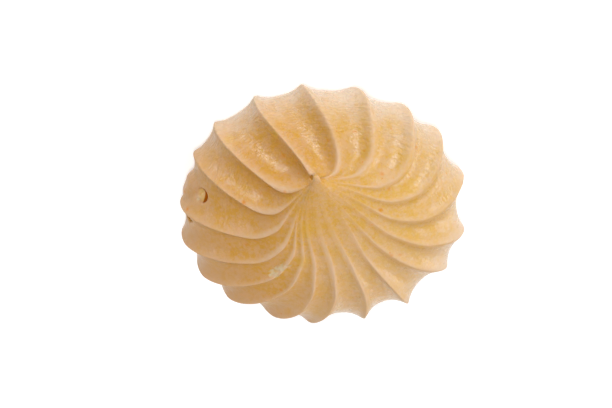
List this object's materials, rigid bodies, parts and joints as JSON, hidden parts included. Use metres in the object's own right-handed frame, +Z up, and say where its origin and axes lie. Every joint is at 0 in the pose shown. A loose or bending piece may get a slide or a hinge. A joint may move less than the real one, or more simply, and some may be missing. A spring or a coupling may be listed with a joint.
{
  "type": "meringue cookie",
  "caption": "Piped swirl meringue cookie with fine ridges, a lobed rim and a small peak flopped over to one side.",
  "frame": {"origin": "centre of the flat base, on the surface the cookie stands on", "axes": "+Z up out of the base; -Y is the side the peak has flopped towards"},
  "size_m": [0.0502, 0.0459, 0.0177],
  "materials": {
    "sugar_crust": "soft satin"
  },
  "bodies": {
    "root": {"meringue": "sugar_crust"}
  },
  "joints": []
}
